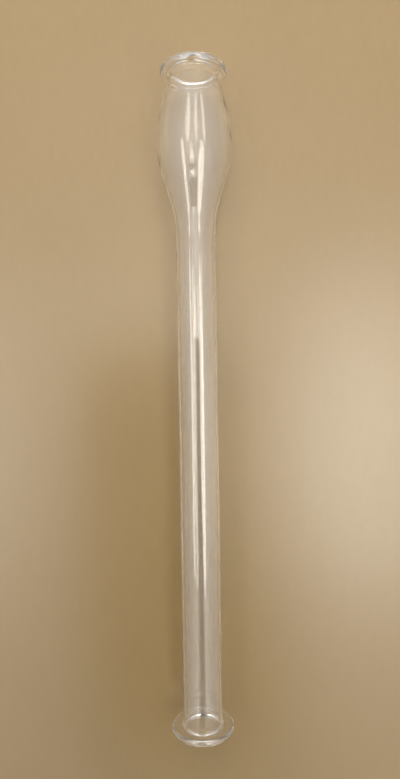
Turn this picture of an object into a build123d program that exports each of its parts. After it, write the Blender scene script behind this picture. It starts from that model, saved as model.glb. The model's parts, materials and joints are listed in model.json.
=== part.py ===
from build123d import *
import os
from math import cos, radians, sin, tan

# A single-bulb glass condenser tube. It is one wall of clear glass, open at both ends, with nothing inside:
# a long straight stem, one egg-shaped bulb near the wide mouth, and a flat flange round each end.
#
# A glassblower makes it from four pieces and fuses them end to end in the flame: the mouth flange on its
# collar, the blown bulb with its neck and its drawn-down throat, the cut length of stem tubing, and the foot
# flange on its collar. Each is a solid of its own here, and they meet face to face at the fused seams.
#
# Frame: millimetres, +Z up. The tube lies along Y with its mouth towards +Y, and its axis is one bulb radius
# above the ground, so that the bulb touches Z = 0. The origin is on the ground, under the tube's mid-length.
# Outlines are drawn with X as the radius and Y as the place along the axis, and turned about the axis.

# Overall
overall_length = 468.0  # from end face to end face

# Stem: a plain length of standard glass tubing
stem_diameter = 28.0
stem_wall = 1.4

# Neck: the short straight tube between the mouth flange and the bulb
neck_diameter = 36.4
neck_wall = 1.6
neck_length = 4.9  # from the back of the flange to where the bulb's cone sets off
neck_sweep = 3.0  # radius of the turn from the neck out into the cone

# Bulb: two equal cones joined by one wide arc, the widest circle in the middle of it
bulb_diameter = 53.3
bulb_wall = 1.2
bulb_crown = 82.0  # radius of the arc in the outline
bulb_slope = radians(16.2)  # of both cones, to the axis

# Throat: where the bulb was drawn down, a slow taper that runs into the stem
throat_swell = 2.2  # how much wider than the stem it is where the cone meets it
throat_length = 16.0
throat_sweep = 28.0  # radius of the turn from the cone into the throat
throat_blend = 120.0  # radius of the turn from the throat into the stem

# Flanges: flat rings with a fully round rim
flange_thickness = 4.4
mouth_flange_overhang = 5.3  # how far the rim stands out from its tube
foot_flange_overhang = 8.15
flange_fillet = 2.3  # between the back of a flange and its tube
lip_round = 1.0  # where the bore opens through the end face

# Straight tube kept beyond a curve, up to the fused seam
seam_land = 0.5

# What follows from the driving dimensions
stem_radius = stem_diameter / 2
stem_bore = stem_radius - stem_wall
neck_radius = neck_diameter / 2
neck_bore = neck_radius - neck_wall
axis_height = bulb_diameter / 2
mouth_face = overall_length / 2
foot_face = -overall_length / 2
flange_piece_length = flange_thickness + flange_fillet + seam_land

# The outer outline's corners from the mouth down. The two cones would meet in an apex outside the crown.
throat_radius = stem_radius + throat_swell / 2
apex_radius = bulb_diameter / 2 + bulb_crown * (1 / cos(bulb_slope) - 1)
neck_seam = mouth_face - flange_piece_length
neck_corner = mouth_face - flange_thickness - neck_length
bulb_middle = neck_corner - (apex_radius - neck_radius) / tan(bulb_slope)
throat_start = bulb_middle - (apex_radius - throat_radius) / tan(bulb_slope)
throat_end = throat_start - throat_length
throat_slope = (throat_swell / 2) / throat_length
throat_seam = throat_end - (throat_blend + stem_wall) * tan(throat_slope / 2) - seam_land
foot_seam = foot_face + flange_piece_length

NO_LENGTH = 1e-6  # a straight stretch shorter than this is left out between two arcs


def corner_arc(before, corner, after, radius):
    """The start, middle and end of the arc of this radius that rounds a corner."""
    back = (before - corner).normalized()
    ahead = (after - corner).normalized()
    half_angle = radians(back.get_angle(ahead)) / 2
    centre = corner + (back + ahead).normalized() * (radius / sin(half_angle))
    middle = centre + (corner - centre).normalized() * radius
    reach = radius / tan(half_angle)
    return corner + back * reach, middle, corner + ahead * reach


def rounded(corners, radii):
    """The edges of an open outline with each corner between its ends rounded."""
    edges = []
    last = corners[0]
    for before, corner, after, radius in zip(corners, corners[1:], corners[2:], radii):
        start, middle, end = corner_arc(before, corner, after, radius)
        if (start - last).length > NO_LENGTH:
            edges.append(Line(last, start))
        edges.append(ThreePointArc(start, middle, end))
        last = end
    edges.append(Line(last, corners[-1]))
    return edges


def inset(corners, walls):
    """The corners of the bore: each stretch of the outer outline moved inwards by its own wall."""
    stretches = []
    for start, end, wall in zip(corners, corners[1:], walls):
        along = (end - start).normalized()
        stretches.append((start + Vector(along.Y, -along.X) * wall, along))
    inner = [stretches[0][0]]
    for (start, along), (next_start, next_along) in zip(stretches, stretches[1:]):
        gap = next_start - start
        run = gap.cross(next_along).Z / along.cross(next_along).Z
        inner.append(start + along * run)
    inner.append(corners[-1] - Vector(walls[-1], 0))
    return inner


def turned(edges):
    """The closed outline turned about the tube's axis, and lifted to its height."""
    return Pos(0, 0, axis_height) * revolve(make_face(edges), Axis.Y, 360)


def make_bulb():
    """The neck, the bulb and the throat: blown and drawn in one piece, with a thinner wall in the bulb."""
    outer = [
        Vector(neck_radius, neck_seam),
        Vector(neck_radius, neck_corner),
        Vector(apex_radius, bulb_middle),
        Vector(throat_radius, throat_start),
        Vector(stem_radius, throat_end),
        Vector(stem_radius, throat_seam),
    ]
    inner = inset(outer, [neck_wall, bulb_wall, bulb_wall, stem_wall, stem_wall])
    outer_edges = rounded(outer, [neck_sweep, bulb_crown, throat_sweep, throat_blend])
    # A hollow turn is wider on the bore, which lies further from its centre, and the crown is tighter.
    inner_radii = [
        neck_sweep + neck_wall,
        bulb_crown - bulb_wall,
        throat_sweep + stem_wall,
        throat_blend + stem_wall,
    ]
    seams = [Line(outer[0], inner[0]), Line(outer[-1], inner[-1])]
    return turned(outer_edges + rounded(inner, inner_radii) + seams)


def make_stem():
    """The plain tubing between the throat and the foot flange."""
    corners = [
        (stem_bore, throat_seam),
        (stem_radius, throat_seam),
        (stem_radius, foot_seam),
        (stem_bore, foot_seam),
    ]
    return turned(Polyline(corners, close=True))


def make_flange(tube_radius, bore_radius, overhang, end_face, inward):
    """A flange on its collar. inward is the sign of Y that leads from the end face into the tube."""
    rim_radius = tube_radius + overhang
    back = end_face + inward * flange_thickness
    seam = end_face + inward * flange_piece_length
    corners = [
        Vector(bore_radius, seam),
        Vector(bore_radius, end_face),
        Vector(rim_radius, end_face),
        Vector(rim_radius, back),
        Vector(tube_radius, back),
        Vector(tube_radius, seam),
    ]
    radii = [lip_round, flange_thickness / 2, flange_thickness / 2, flange_fillet]
    return turned(rounded(corners, radii) + [Line(corners[-1], corners[0])])


pieces = {
    "mouth_flange": make_flange(neck_radius, neck_bore, mouth_flange_overhang, mouth_face, -1),
    "bulb": make_bulb(),
    "stem": make_stem(),
    "foot_flange": make_flange(stem_radius, stem_bore, foot_flange_overhang, foot_face, 1),
}

os.makedirs("parts", exist_ok=True)
for name, piece in pieces.items():
    export_step(piece, f"parts/{name}.step")
    box = piece.bounding_box()
    print(f"{name}: {piece.volume / 1000:.2f} cm3, y {box.min.Y:.2f} to {box.max.Y:.2f}, r {box.max.X:.2f}")
print(f"bulb middle {bulb_middle:.2f}, throat {throat_start:.2f} to {throat_end:.2f}")
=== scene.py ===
# %% [markdown]
# # A single-bulb glass condenser tube
#
# The object is one long clear glass tube, open at both ends. Near its wide mouth it swells into an
# egg-shaped bulb, and each end is spread into a flat flange with a round rim. A glassblower makes it from
# four lengths of glass and fuses them in the flame, so there are four pieces here too.
#
# Clear glass has almost no colour of its own. What we see is the room mirrored in its two walls, the ground
# bent through them, and a bright line where we look along the wall at each side. So the work goes into three
# things: walls with the right thickness and faint waves, a glass that is clear but not perfect, and lights
# with edges worth mirroring.
#
# The first cell loads the engineering model. Its nodes stay where they are. We measure them, and later hide
# each one behind a smoother piece of the same size.

# %% Load the engineering model
import json

import bpy
import numpy as np
from mathutils import Matrix, Vector


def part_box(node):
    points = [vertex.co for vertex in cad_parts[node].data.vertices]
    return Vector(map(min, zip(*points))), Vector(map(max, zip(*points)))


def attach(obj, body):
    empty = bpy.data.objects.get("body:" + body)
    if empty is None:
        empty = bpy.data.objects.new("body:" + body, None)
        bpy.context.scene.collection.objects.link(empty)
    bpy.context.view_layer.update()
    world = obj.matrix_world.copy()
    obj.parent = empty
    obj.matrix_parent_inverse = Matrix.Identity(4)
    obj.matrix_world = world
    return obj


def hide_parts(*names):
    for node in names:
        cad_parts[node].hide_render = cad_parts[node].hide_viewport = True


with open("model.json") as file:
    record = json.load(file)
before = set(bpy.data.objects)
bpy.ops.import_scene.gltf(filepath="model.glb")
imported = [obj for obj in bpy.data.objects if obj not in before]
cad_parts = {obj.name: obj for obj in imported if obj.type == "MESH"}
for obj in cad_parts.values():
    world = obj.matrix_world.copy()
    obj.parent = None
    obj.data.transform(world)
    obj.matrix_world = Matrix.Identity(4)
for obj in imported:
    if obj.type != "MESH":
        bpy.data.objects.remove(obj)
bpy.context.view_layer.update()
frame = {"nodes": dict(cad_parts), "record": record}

# %% [markdown]
# ## Reading the sizes
#
# The tube lies along Y, mouth towards +Y. Every overall size can be read from the boxes of the four nodes
# and from the two bores in the record. Only the sizes that no box shows, such as the radius of the arc
# over the bulb, are written down here.
#
# All lengths are in metres, because Blender and the frame both use metres.

# %% Sizes from the frame
MM = 0.001
mounts = {m["name"]: m for m in frame["record"]["mounts"]}
low = {name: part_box(name)[0] for name in frame["nodes"]}
high = {name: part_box(name)[1] for name in frame["nodes"]}

axis_height = (low["stem"].z + high["stem"].z) / 2
mouth_face, foot_face = high["mouth_flange"].y, low["foot_flange"].y
neck_seam, throat_seam, foot_seam = high["bulb"].y, high["stem"].y, low["stem"].y
stem_radius = high["stem"].x
bulb_radius = high["bulb"].x
mouth_rim, foot_rim = high["mouth_flange"].x, high["foot_flange"].x
neck_bore = mounts["mouth_bore"]["dims"]["r_mm"] * MM
stem_bore = mounts["foot_bore"]["dims"]["r_mm"] * MM
print(f"axis height {axis_height:.4f}, stem radius {stem_radius:.4f}, bulb radius {bulb_radius:.4f}")
print(f"bore radius at the neck {neck_bore:.4f}, at the foot {stem_bore:.4f}")

# %% Sizes that no box shows
NECK_WALL, BULB_WALL = 1.6 * MM, 1.2 * MM
NECK_SWEEP = 3.0 * MM  # radius of the turn from the neck out into the bulb
BULB_CROWN = 82.0 * MM  # radius of the arc over the widest circle
BULB_SLOPE = np.radians(16.2)  # of the two cones, to the axis
THROAT_SWELL, THROAT_LENGTH = 2.2 * MM, 16.0 * MM
THROAT_SWEEP, THROAT_BLEND = 28.0 * MM, 120.0 * MM
FLANGE_THICKNESS, FLANGE_FILLET, LIP_ROUND = 4.4 * MM, 2.3 * MM, 1.0 * MM
NECK_LENGTH = 4.9 * MM  # from the back of the flange to the foot of the upper cone
print("bulb wall", BULB_WALL, "flange thickness", FLANGE_THICKNESS, "slope", round(float(BULB_SLOPE), 4))

# %% [markdown]
# ## The camera
#
# The tube is seen from above, from less than its own length away, so the ends are seen at a slant and the
# flanges show as ellipses. That needs a wide lens close by: a long lens from far off would flatten them.

# %% Camera
LENS, FILM = 25.88, 36.0  # focal length and width of the film, in millimetres
CAMERA_DISTANCE = 0.397  # from the tube's axis
CAMERA_TILT = np.radians(1.42)  # the foot of the tube is this much further away
CAMERA_ROLL = np.radians(0.903)
AIM = Vector((0.0014, 0.010, axis_height))  # what the middle of the picture looks at
NEAREST = 0.01  # nothing closer to the lens than this is drawn


def make_camera():
    """A camera over the tube. Its back axis leans by the tilt, and its sides are turned by the roll."""
    camera = bpy.data.objects.new("camera", bpy.data.cameras.new("camera"))
    bpy.context.scene.collection.objects.link(camera)
    camera.data.sensor_width = FILM
    camera.data.lens = LENS
    camera.data.clip_start = NEAREST
    back = Vector((0, np.sin(CAMERA_TILT), np.cos(CAMERA_TILT)))
    right = Vector((np.cos(CAMERA_ROLL), -np.sin(CAMERA_ROLL), 0))
    up = back.cross(right).normalized()
    right = up.cross(back)
    turn = Matrix((right, up, back)).transposed()
    camera.matrix_world = Matrix.Translation(AIM + back * CAMERA_DISTANCE) @ turn.to_4x4()
    bpy.context.scene.camera = camera
    return camera


camera = make_camera()
print("lens:", LENS, "mm, camera at", [round(v, 3) for v in camera.matrix_world.translation])

# %% [markdown]
# ## Outlines
#
# The whole tube is turned about one axis, so each piece is one closed outline of (radius, y) points carried
# round a circle. The outlines are made as a draughtsman makes them: a few straight lines whose corners are
# rounded with arcs. Arcs that touch their lines matter on glass, because a kink that is too small to feel
# still breaks a reflection in two.

# %% Rounding corners
SAME_POINT = 1e-7  # points closer together than this are one point


def arc_at(before, corner, after, radius, step):
    """Points on the arc that touches both lines at a corner. Its centre is radius / sin(half the angle) from
    the corner, on the line that halves the angle."""
    back = (before - corner) / np.linalg.norm(before - corner)
    ahead = (after - corner) / np.linalg.norm(after - corner)
    half = np.arccos(np.clip(back @ ahead, -1, 1)) / 2
    middle = (back + ahead) / np.linalg.norm(back + ahead)
    centre = corner + middle * radius / np.sin(half)
    sweep = np.pi / 2 - half
    count = max(3, int(np.ceil(2 * sweep * radius / step)) + 1)
    across = np.array([-middle[1], middle[0]])
    across *= np.sign(across @ ahead)
    angle = np.linspace(-sweep, sweep, count)[:, None]
    return centre + radius * (np.sin(angle) * across - np.cos(angle) * middle)


def rounded(corners, radii, step):
    """An open outline: straight lines joined by arcs, with points no further apart than step."""
    corners = [np.asarray(c, float) for c in corners]
    marks = [corners[0][None]]
    for before, corner, after, radius in zip(corners, corners[1:], corners[2:], radii):
        marks.append(arc_at(before, corner, after, radius, step))
    marks.append(corners[-1][None])
    points = np.concatenate(marks)
    points = points[np.r_[True, np.linalg.norm(np.diff(points, axis=0), axis=1) > SAME_POINT]]
    shares = [
        np.linspace(a, b, max(1, int(np.ceil(np.linalg.norm(b - a) / step))), endpoint=False)
        for a, b in zip(points, points[1:])
    ]
    return np.concatenate(shares + [points[-1][None]])


example = rounded([(2, 0), (0, 0), (0, 2)], [1], 0.5)
print("a square corner rounded by 1:", example.round(2).tolist())

# %% [markdown]
# ## The outline of each piece
#
# The outer wall of the bulb is six corners: neck, foot of the upper cone, the apex where the two cones would
# meet, foot of the lower cone, end of the throat, and stem. The bore is the same chain of lines, each moved
# in by its wall, which is what the next function does.

# %% The bore from the outer wall
def inset(corners, walls):
    """Each line of the chain moved inwards by its wall. Neighbouring lines are then crossed: the crossing is
    start + along * (gap x next) / (along x next), with x the plane's cross product."""
    corners = [np.asarray(c, float) for c in corners]
    lines = []
    for start, end, wall in zip(corners, corners[1:], walls):
        along = (end - start) / np.linalg.norm(end - start)
        lines.append((start + np.array([along[1], -along[0]]) * wall, along))
    inner = [lines[0][0]]
    for (start, along), (other, heading) in zip(lines, lines[1:]):
        gap = other - start
        run = (gap[0] * heading[1] - gap[1] * heading[0]) / (along[0] * heading[1] - along[1] * heading[0])
        inner.append(start + along * run)
    return inner + [corners[-1] - [walls[-1], 0]]


print("a tube of radius 2 with a wall of 0.5:", np.array(inset([(2, 1), (2, 0)], [0.5])).tolist())

# %% Outlines of the four pieces
# How far apart the rings of points are
BULB_STEP, FLANGE_STEP, STEM_STEP = 1.0 * MM, 0.3 * MM, 2.0 * MM
NECK_RADIUS = neck_bore + NECK_WALL
STEM_WALL = stem_radius - stem_bore


def bulb_outlines():
    """The bulb's outer wall and its bore, both from the neck seam down to the throat seam."""
    apex = bulb_radius + BULB_CROWN * (1 / np.cos(BULB_SLOPE) - 1)
    throat = stem_radius + THROAT_SWELL / 2
    neck_corner = mouth_face - FLANGE_THICKNESS - NECK_LENGTH
    middle = neck_corner - (apex - NECK_RADIUS) / np.tan(BULB_SLOPE)
    throat_start = middle - (apex - throat) / np.tan(BULB_SLOPE)
    corners = [
        (NECK_RADIUS, neck_seam),
        (NECK_RADIUS, neck_corner),
        (apex, middle),
        (throat, throat_start),
        (stem_radius, throat_start - THROAT_LENGTH),
        (stem_radius, throat_seam),
    ]
    outer = rounded(corners, [NECK_SWEEP, BULB_CROWN, THROAT_SWEEP, THROAT_BLEND], BULB_STEP)
    inner_corners = inset(corners, [NECK_WALL, BULB_WALL, BULB_WALL, STEM_WALL, STEM_WALL])
    inner_radii = [
        NECK_SWEEP + NECK_WALL,
        BULB_CROWN - BULB_WALL,
        THROAT_SWEEP + STEM_WALL,
        THROAT_BLEND + STEM_WALL,
    ]
    return outer, rounded(inner_corners, inner_radii, BULB_STEP), middle


def flange_outline(tube, bore, rim, face, inward, seam):
    """A flange on its collar, from the collar's outer edge at the seam round the rim to the bore's edge.
    inward is the sign of y that leads from the end face into the tube."""
    back = face + inward * FLANGE_THICKNESS
    corners = [(tube, seam), (tube, back), (rim, back), (rim, face), (bore, face), (bore, seam)]
    radii = [FLANGE_FILLET, FLANGE_THICKNESS / 2, FLANGE_THICKNESS / 2, LIP_ROUND]
    return rounded(corners, radii, FLANGE_STEP)


bulb_outer, bulb_inner, bulb_middle = bulb_outlines()
print("bulb outline:", len(bulb_outer), "rings, widest", round(bulb_outer[:, 0].max() / MM, 3), "mm")

# %% [markdown]
# ## Hand work in the glass
#
# Drawn tubing isn't perfectly round, and a blown bulb is less so. The waves reach a quarter of a millimetre
# on the bulb and less than a tenth on the stem. That is too little to see as a shape, but a mirror doubles
# every slope, so they make the reflections wander. They are one function of the place along the tube and
# round it, the same for every piece, so that the walls still meet exactly at the seams. On the outside they
# only take glass away, so no piece grows past its size.

# %% Waves in the walls
rng = np.random.default_rng(5)
BLOWN_LENGTHS, DRAWN_LENGTHS = (10 * MM, 30 * MM), (60 * MM, 190 * MM)
BLOWN_SLOPE, DRAWN_SLOPE = 0.038, 0.0022  # rise over run of the waves together
BLOWN_MIDDLE, BLOWN_REACH = bulb_middle - 6 * MM, 66 * MM  # the blown waves fade out this far to each side
CREST_MARGIN = 0.002 * MM  # for a crest between two of the places looked at


def make_waves(count, lengths, turns, slope):
    """count sine waves, as (waves per metre, waves per turn, phase, height). lengths is the range of the
    wavelength along the tube, and each wave's height is its length times the slope, over two pi."""
    length = rng.uniform(*lengths, count)
    heights = slope * length / (2 * np.pi) / np.sqrt(count)
    return np.stack([1 / length, rng.integers(*turns, count), rng.uniform(0, 2 * np.pi, count), heights], 1)


# One set for the outer wall and one for the bore
bulb_waves = [make_waves(12, BLOWN_LENGTHS, (0, 3), BLOWN_SLOPE) for _ in range(2)]
stem_waves = [make_waves(7, DRAWN_LENGTHS, (0, 4), DRAWN_SLOPE) for _ in range(2)]


def sum_of(waves, y, angle):
    """The waves added up at places along the tube and round it."""
    per_metre, per_turn, phase, height = waves.T[:, :, None, None]
    return (height * np.sin(2 * np.pi * per_metre * y + per_turn * angle + phase)).sum(0)


def blown_share(y):
    """How far a place belongs to the blown bulb: 1 at its middle, and 0 from BLOWN_REACH away. It is the
    smooth step n x n x (3 - 2 n), with n = 1 - distance / reach."""
    near = np.clip(1 - np.abs(y - BLOWN_MIDDLE) / BLOWN_REACH, 0, 1)
    return near * near * (3 - 2 * near)


def highest_crest(waves, steps=1200, sides=96):
    """The top of a set of waves, looked for at steps places along the tube and sides places round it."""
    y = np.linspace(foot_face, mouth_face, steps)[:, None]
    angle = np.linspace(0, 2 * np.pi, sides, endpoint=False)[None]
    return sum_of(waves, y, angle).max() + CREST_MARGIN


BLOWN_CREST, DRAWN_CREST = highest_crest(bulb_waves[0]), highest_crest(stem_waves[0])


def hand_work(y, angle, wall):
    """How far the surface is moved from its true radius at places along and round. wall is 0 on the outer
    surface and 1 on the bore. The outer wall is also set back by the highest crests, so that its waves
    only take glass away."""
    blown = blown_share(y)
    waves = blown * sum_of(bulb_waves[wall], y, angle) + sum_of(stem_waves[wall], y, angle)
    set_back = blown * BLOWN_CREST + DRAWN_CREST if wall == 0 else 0
    return waves - set_back


print("highest crests:", round(BLOWN_CREST / MM, 3), "mm blown,", round(DRAWN_CREST / MM, 3), "mm drawn")

# %% [markdown]
# ## Carrying an outline round the axis
#
# Point (radius, y) of the outline and angle a give the place (radius cos a, y, height + radius sin a). The
# grid wraps round in the angle and is closed from its last ring back to its first, so a piece has no poles
# and no open edge. The faces between the last ring and the first are the fused seam.
#
# A seam in the flame leaves no surface behind: the glass is one. So these faces get a material of their own
# that light passes straight through, and the edges round them are marked sharp, which keeps the walls'
# shading from bending into the seam.

# %% Surface of revolution
AROUND = 160  # points on each ring


def turned_piece(name, outlines, seams):
    """A closed piece from outlines in order. Each is an array of (radius, y) points with its wall, 0 or 1,
    for every point. seams says for each outline whether the gap that follows it is a fused seam."""
    rings = np.concatenate([points for points, _ in outlines])
    walls = np.concatenate([np.broadcast_to(wall, len(points)) for points, wall in outlines])
    angle = np.linspace(0, 2 * np.pi, AROUND, endpoint=False)[None]
    y = rings[:, 1][:, None]
    shift = np.where(walls[:, None] > 0.5, hand_work(y, angle, 1), hand_work(y, angle, 0))
    radius = rings[:, 0][:, None] + shift
    points = np.stack([radius * np.cos(angle), y + 0 * angle, axis_height + radius * np.sin(angle)], 2)
    count = len(rings)
    ring, side = np.meshgrid(np.arange(count), np.arange(AROUND), indexing="ij")
    after, beside = (ring + 1) % count, (side + 1) % AROUND
    corners = np.stack([ring, ring, after, after], 2) * AROUND + np.stack([side, beside, beside, side], 2)
    last = np.cumsum([len(points) for points, _ in outlines]) - 1
    seam_rings = np.array([r for r, is_seam in zip(last, seams) if is_seam], int)
    return build_mesh(name, points.reshape(-1, 3), corners.reshape(-1, 4), count, seam_rings)


def build_mesh(name, points, faces, count, seam_rings):
    """Puts whole arrays of points and four-cornered faces into a mesh."""
    mesh = bpy.data.meshes.new(name)
    mesh.vertices.add(len(points))
    mesh.loops.add(faces.size)
    mesh.polygons.add(len(faces))
    mesh.vertices.foreach_set("co", points.astype(np.float32).ravel())
    mesh.loops.foreach_set("vertex_index", faces.astype(np.int32).ravel())
    mesh.polygons.foreach_set("loop_start", np.arange(0, faces.size, 4, dtype=np.int32))
    mesh.update(calc_edges=True)
    mesh.validate()
    is_seam = np.repeat(np.isin(np.arange(count), seam_rings), AROUND)
    mesh.polygons.foreach_set("material_index", is_seam.astype(np.int32))
    mesh.polygons.foreach_set("use_smooth", ~is_seam)
    ends = np.zeros(len(mesh.edges) * 2, np.int32)
    mesh.edges.foreach_get("vertices", ends)
    ring_of = ends.reshape(-1, 2) // AROUND
    edge_rings = np.r_[seam_rings, (seam_rings + 1) % count]
    sharp = (ring_of[:, 0] == ring_of[:, 1]) & np.isin(ring_of[:, 0], edge_rings)
    attribute = mesh.attributes.get("sharp_edge") or mesh.attributes.new("sharp_edge", "BOOLEAN", "EDGE")
    attribute.data.foreach_set("value", sharp)
    mesh.update()
    piece = bpy.data.objects.new(name, mesh)
    bpy.context.scene.collection.objects.link(piece)
    print(f"{name}: {len(mesh.polygons)} faces, {len(mesh.vertices)} points")
    return piece


# %% The four pieces
def straight(radius, start, end, step):
    """Points along a plain stretch of tube."""
    return rounded([(radius, start), (radius, end)], [], step)


def flange_walls(points, tube, bore):
    """Which wall a flange's points follow: 1 on the bore, 0 on the collar outside and round the rim."""
    return (points[:, 0] < (tube + bore) / 2).astype(float)


# An outline has to run down the outside and up the bore, or the faces would point into the glass. The mouth
# flange is the foot flange the other way up, so its outline is turned round.
mouth_points = flange_outline(NECK_RADIUS, neck_bore, mouth_rim, mouth_face, -1, neck_seam)[::-1]
mouth_walls = flange_walls(mouth_points, NECK_RADIUS, neck_bore)
foot_points = flange_outline(stem_radius, stem_bore, foot_rim, foot_face, 1, foot_seam)
foot_walls = flange_walls(foot_points, stem_radius, stem_bore)
stem_outer = straight(stem_radius, throat_seam, foot_seam, STEM_STEP)
stem_inner = straight(stem_bore, foot_seam, throat_seam, STEM_STEP)
pieces = [
    turned_piece("glass_mouth_flange", [(mouth_points, mouth_walls)], [True]),
    turned_piece("glass_bulb", [(bulb_outer, 0), (bulb_inner[::-1], 1)], [True, True]),
    turned_piece("glass_stem", [(stem_outer, 0), (stem_inner, 1)], [True, True]),
    turned_piece("glass_foot_flange", [(foot_points, foot_walls)], [True]),
]

# %% [markdown]
# ## Shader maths
#
# A material is a small sum. Written as nodes it is hard to read, so this class wraps a socket and lets
# Python's own signs add the Math nodes. Plain numbers are worked out in Python and only reach a node when
# they meet a socket.

# %% Sockets as values
class Value:
    """A number that varies over the surface: an output socket of a node tree."""

    def __init__(self, tree, socket):
        self.tree, self.socket = tree, socket

    def maths(self, operation, other):
        """A Math node that takes this value first and the other second."""
        return self.tree.node("ShaderNodeMath", {"operation": operation}, {0: self, 1: other})

    def __add__(self, other):
        return self.maths("ADD", other)

    def __mul__(self, other):
        return self.maths("MULTIPLY", other)

    def __sub__(self, other):
        return self.maths("SUBTRACT", other)

    def __pow__(self, other):
        return self.maths("POWER", other)

    __radd__ = __add__

    def clipped(self):
        """Held between 0 and 1."""
        return self.tree.node("ShaderNodeClamp", {}, {"Value": self})


class Tree:
    """The node tree of one new material, with its Principled shader."""

    def __init__(self, name):
        self.material = bpy.data.materials.new(name)
        self.material.use_nodes = True
        self.nodes, self.links = self.material.node_tree.nodes, self.material.node_tree.links
        self.nodes.clear()
        self.shader = self.nodes.new("ShaderNodeBsdfPrincipled")
        output = self.nodes.new("ShaderNodeOutputMaterial")
        self.links.new(self.shader.outputs["BSDF"], output.inputs["Surface"])

    def fill(self, node, values):
        """Gives sockets their values, or links them to other sockets."""
        for key, value in values.items():
            if isinstance(value, Value):
                self.links.new(value.socket, node.inputs[key])
            else:
                node.inputs[key].default_value = value

    def node(self, kind, settings, values, output=0):
        """A node of one kind. Its settings come first, because they decide which sockets it has."""
        made = self.nodes.new(kind)
        for key, value in settings.items():
            setattr(made, key, value)
        self.fill(made, values)
        return Value(self, made.outputs[output])

    def place(self, stretch=(1, 1, 1)):
        """Object coordinates, multiplied by the stretch."""
        where = self.node("ShaderNodeTexCoord", {}, {}, "Object")
        return self.node("ShaderNodeMapping", {}, {"Vector": where, "Scale": stretch})

    def noise(self, size, detail=2.0, rough=0.5, stretch=(1, 1, 1), distortion=0.0):
        """Soft noise from 0 to 1 whose blotches are about one size across."""
        values = {"Vector": self.place(stretch), "Scale": 1 / size, "Detail": detail, "Roughness": rough}
        return self.node("ShaderNodeTexNoise", {}, {**values, "Distortion": distortion})

    def blend(self, first, second, share):
        """One colour turned into another as share goes from 0 to 1. The Mix node has sockets for every kind
        of value, so those for colours are picked by their number."""
        share_in, first_in, second_in, colour_out = 0, 6, 7, 2
        values = {share_in: share, first_in: (*first, 1), second_in: (*second, 1)}
        return self.node("ShaderNodeMix", {"data_type": "RGBA"}, values, colour_out)


# %% [markdown]
# ## The glass
#
# Borosilicate glass bends light by an index of 1.473. It is nearly colourless face on, and turns a faint warm
# grey where we look along the wall, through a centimetre of it. The Layer Weight node says how far a surface
# is turned from the eye, so it carries that tint.
#
# Clean lab glass still has a history: finger grease in soft patches, dried water marks, and the fine lines
# of the drawing machine along it. They only show in the reflections, so they go to Roughness and to Bump.
# Years of washing also leave a faint haze. It scatters about a thirtieth of the light at each surface, and
# makes the tube look milky against the paper, right up to its edges.

# %% Glass material
GLASS_INDEX = 1.473
HAZE = 0.035  # the share of light that a surface scatters instead of passing on
FACE_TINT = (0.995, 0.988, 0.978)
EDGE_TINT = (0.90, 0.88, 0.84)
GREASE_SIZE, SPECK_SIZE, DRAW_LINE_SIZE = 26 * MM, 1.6 * MM, 3.0 * MM  # about how wide each mark is
CLEAN, GREASY, SPECKED = 0.02, 0.04, 0.05  # roughness of clean glass, and what each mark adds to it
DRAW_LINE_DEPTH = 0.2 * MM


def make_glass():
    """Clear glass. grease and specks are noise, stretched so that only its peaks stay above 0."""
    tree = Tree("clear_glass")
    turned_away = tree.node("ShaderNodeLayerWeight", {}, {"Blend": 0.5}, "Facing")
    grease = (tree.noise(GREASE_SIZE, detail=3.0, distortion=0.6) * 3.2 - 1.5).clipped()
    specks = (tree.noise(SPECK_SIZE, detail=2.0) * 9.0 - 6.0).clipped()
    draw_lines = tree.noise(DRAW_LINE_SIZE, detail=1.0, stretch=(1, 0.03, 1))
    tint = tree.blend(FACE_TINT, EDGE_TINT, turned_away**3.0)
    roughness = CLEAN + grease * GREASY + specks * SPECKED
    bump = {"Strength": 0.08, "Distance": DRAW_LINE_DEPTH, "Height": draw_lines}
    normal = tree.node("ShaderNodeBump", {}, bump)
    tree.fill(
        tree.shader,
        {
            "Base Color": tint,
            "Roughness": roughness,
            "Normal": normal,
            "IOR": GLASS_INDEX,
            "Transmission Weight": 1 - HAZE,
        },
    )
    return tree.material


glass = make_glass()
print(glass.name, "has", len(glass.node_tree.nodes), "nodes")

# %% [markdown]
# ## The fused seam
#
# Where two lengths have melted together there is no surface to see. The seam faces are needed to make each
# piece a closed body, but light has to pass them unbent, so they are simply fully clear.

# %% Seam material
def make_seam():
    """A surface that can't be seen."""
    tree = Tree("fused_seam")
    tree.fill(tree.shader, {"Alpha": 0.0, "Base Color": (*FACE_TINT, 1), "Roughness": 0.05})
    return tree.material


seam = make_seam()
print(seam.name, "has", len(seam.node_tree.nodes), "nodes")

# %% Each piece takes the place of its node
nodes_of = {
    "glass_mouth_flange": "mouth_flange",
    "glass_bulb": "bulb",
    "glass_stem": "stem",
    "glass_foot_flange": "foot_flange",
}
for piece in pieces:
    piece.data.materials.append(glass)
    piece.data.materials.append(seam)
    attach(piece, "root")
    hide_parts(nodes_of[piece.name])
    print(piece.name, "takes the place of", nodes_of[piece.name])

# %% [markdown]
# ## The floor
#
# Clear glass shows what is under it, so the floor is part of its look. A white floor would drown the bright
# lines. This one is a plain pale tan with a faint fibre and a satin face, like good wrapping paper. The
# satin matters: at a slant it shines, and the shine is what the two edges of the tube bend into view.
#
# A tube with one bulb can't lie level: it rests on the bulb and on the rim of the foot. The object stays
# level in its own frame, so the floor is leant instead, by about half a degree, to touch it at both.

# %% Floor
FLOOR_DARK, FLOOR_LIGHT = (0.185, 0.121, 0.045), (0.222, 0.148, 0.058)
FLOOR_HALF = 6.0  # half its side, in metres
FLOOR_GAP = 0.02 * MM  # kept under the bulb, so that no face cuts into another
FIBRE_SIZE, CLOUD_SIZE, FIBRE_DEPTH = 5 * MM, 90 * MM, 0.1 * MM
SATIN = 0.34  # roughness


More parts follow.
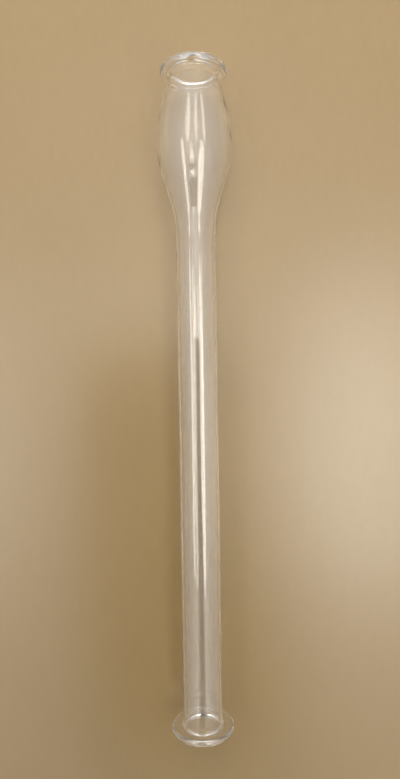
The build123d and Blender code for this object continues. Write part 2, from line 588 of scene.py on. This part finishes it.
def make_floor():
    """One large square of satin paper. It leans by arctan(rise / run), from the bulb's lowest point to the
    rim of the foot flange."""
    rise = low["foot_flange"].z - low["bulb"].z
    run = bulb_middle - (foot_face + FLANGE_THICKNESS / 2)
    lean = np.arctan2(rise, run)
    x, y = np.meshgrid([-FLOOR_HALF, FLOOR_HALF], [-FLOOR_HALF, FLOOR_HALF])
    z = (bulb_middle - y) * np.tan(lean) - FLOOR_GAP
    mesh = bpy.data.meshes.new("floor")
    points = np.stack([x.ravel(), y.ravel(), z.ravel()], 1)
    mesh.from_pydata(points.tolist(), [], [(0, 1, 3, 2)])
    tree = Tree("floor_paper")
    fibre = tree.noise(FIBRE_SIZE, detail=5.0, rough=0.6, stretch=(1, 0.4, 1))
    cloud = tree.noise(CLOUD_SIZE, detail=2.0)
    tone = tree.blend(FLOOR_DARK, FLOOR_LIGHT, (fibre * 0.7 + cloud * 0.5 - 0.1).clipped())
    bump = tree.node("ShaderNodeBump", {}, {"Strength": 0.15, "Distance": FIBRE_DEPTH, "Height": fibre})
    face = {"Base Color": tone, "Roughness": SATIN, "Normal": bump, "Specular IOR Level": 0.9}
    tree.fill(tree.shader, face)
    mesh.materials.append(tree.material)
    floor = bpy.data.objects.new("floor", mesh)
    bpy.context.scene.collection.objects.link(floor)
    print("floor leans", round(float(np.degrees(lean)), 3), "degrees")


make_floor()

# %% [markdown]
# ## Light
#
# Round glass gathers the whole room into lines along its length. Each line is the picture of one lamp, and
# its place, as a share of the radius, is sin(half the lamp's angle from overhead). So three of the lamps are
# long softboxes that run along the tube: right of overhead, just left of it and further left. They are oval,
# so that each line tapers to its ends. The fourth lamp, over the mouth, is for the paper: the glass neither
# mirrors it nor bends it.
#
# A pale room fills the rest. It is brighter overhead than at the horizon, because a flange mirrors the
# horizon whole, and a bright one would draw hard white arcs in it.
#
# Bright light alone would leave the glass flat and milky. So a dark card hangs where its picture draws a
# clean dark gap between the bright lines. Here the card is the camera's own front, a dark grey shape that is
# wide over the foot and narrows over the bulb.

# %% Lamps
WARM_WHITE = (1.0, 0.965, 0.88)
# For each lamp its centre, its width and length, and its radiance
SOFTBOXES = {
    "softbox_right": ((0.46, -0.12, 1.15), (0.42, 0.95), 5.6),
    "softbox_middle": ((-0.165, -0.12, 1.15), (0.32, 0.80), 4.2),
    "softbox_left": ((-0.80, -0.10, 1.15), (0.26, 1.05), 5.2),
}
PAPER_LAMP = ((-0.10, 1.10, 1.40), (1.3, 1.3), 3.2)


def hang(lamp, centre):
    """Puts a lamp at a place and turns its face to the tube, its length along the tube."""
    away = (Vector(centre) - Vector((0, 0, axis_height))).normalized()
    across = Vector((0, 1, 0)).cross(away).normalized()
    turn = Matrix((across, away.cross(across), away)).transposed()
    holder = bpy.data.objects.new(lamp.name, lamp)
    bpy.context.scene.collection.objects.link(holder)
    holder.matrix_world = Matrix.Translation(centre) @ turn.to_4x4()
    holder.visible_camera = False
    return holder


def softbox(name, centre, size, radiance):
    """An oval of light. Power is radiance x pi x area, and the area is pi / 4 x width x length."""
    lamp = bpy.data.lights.new(name, "AREA")
    lamp.shape = "ELLIPSE"
    lamp.size, lamp.size_y = size
    lamp.energy = radiance * np.pi * np.pi / 4 * size[0] * size[1]
    lamp.color = WARM_WHITE
    return hang(lamp, centre)


for name, measures in SOFTBOXES.items():
    softbox(name, *measures)
fill = softbox("fill_over_mouth", *PAPER_LAMP)
fill.visible_glossy, fill.visible_transmission = False, False

# %% The dark card
CARD_GREY = (0.06, 0.055, 0.05)
CARD_ABOVE_LENS = 12 * MM  # just behind the lens, out of its view
# Corners of the card, as x and as y from the lens
CARD_FRONT = [(-0.17, -0.60), (0.12, -0.60), (0.065, -0.05), (0.065, 0.055), (-0.15, 0.055), (-0.17, -0.05)]


def dark_card(name, corners):
    """A flat matt dark grey card from its corners."""
    mesh = bpy.data.meshes.new(name)
    mesh.from_pydata(corners, [], [tuple(range(len(corners)))])
    tree = Tree(name)
    tree.fill(tree.shader, {"Base Color": (*CARD_GREY, 1), "Roughness": 0.9, "Specular IOR Level": 0.0})
    mesh.materials.append(tree.material)
    card = bpy.data.objects.new(name, mesh)
    bpy.context.scene.collection.objects.link(card)
    card.visible_camera = False


lens = camera.matrix_world.translation
dark_card("camera_front", [(x, lens.y + y, lens.z + CARD_ABOVE_LENS) for x, y in CARD_FRONT])
print("dark card at a height of", round(lens.z + CARD_ABOVE_LENS, 3), "m")

# %% The room
HORIZON, OVERHEAD = 0.42, 1.9  # how bright it is
ROOM_COLOUR = (1.0, 0.965, 0.915)


def make_room():
    """A pale room, brighter overhead. The light from a direction that rises by z (the sine of its height) is
    horizon + (overhead - horizon) x z squared."""
    world = bpy.data.worlds.new("room")
    bpy.context.scene.world = world
    world.use_nodes = True
    nodes, links = world.node_tree.nodes, world.node_tree.links
    direction, parts = nodes.new("ShaderNodeTexCoord"), nodes.new("ShaderNodeSeparateXYZ")
    squared, strength = nodes.new("ShaderNodeMath"), nodes.new("ShaderNodeMath")
    squared.operation, strength.operation = "MULTIPLY", "MULTIPLY_ADD"
    links.new(direction.outputs["Generated"], parts.inputs[0])
    links.new(parts.outputs["Z"], squared.inputs[0])
    links.new(parts.outputs["Z"], squared.inputs[1])
    links.new(squared.outputs[0], strength.inputs[0])
    strength.inputs[1].default_value = OVERHEAD - HORIZON
    strength.inputs[2].default_value = HORIZON
    background = nodes["Background"]
    links.new(strength.outputs[0], background.inputs["Strength"])
    background.inputs["Color"].default_value = (*ROOM_COLOUR, 1)
    print("room:", HORIZON, "at the horizon,", OVERHEAD, "overhead")


make_room()
# Colours are shown as they are, without a film's curve.
bpy.context.scene.view_settings.view_transform = "Standard"

# %% [markdown]
# ## Room for the light to bounce
#
# A glass wall guides light as a fibre does: a ray that enters the rim can bounce dozens of times before it
# gets out. If it is given up early, the rim turns black. Light that falls through the glass onto the floor
# also has to stay sharp, or the tube throws a dark shadow that real glass doesn't have.

# %% Bounces
BOUNCES = 96
cycles = bpy.context.scene.cycles
cycles.max_bounces = BOUNCES
cycles.transmission_bounces = BOUNCES
cycles.glossy_bounces = BOUNCES
cycles.blur_glossy = 0.0
print("a ray may bounce", BOUNCES, "times")
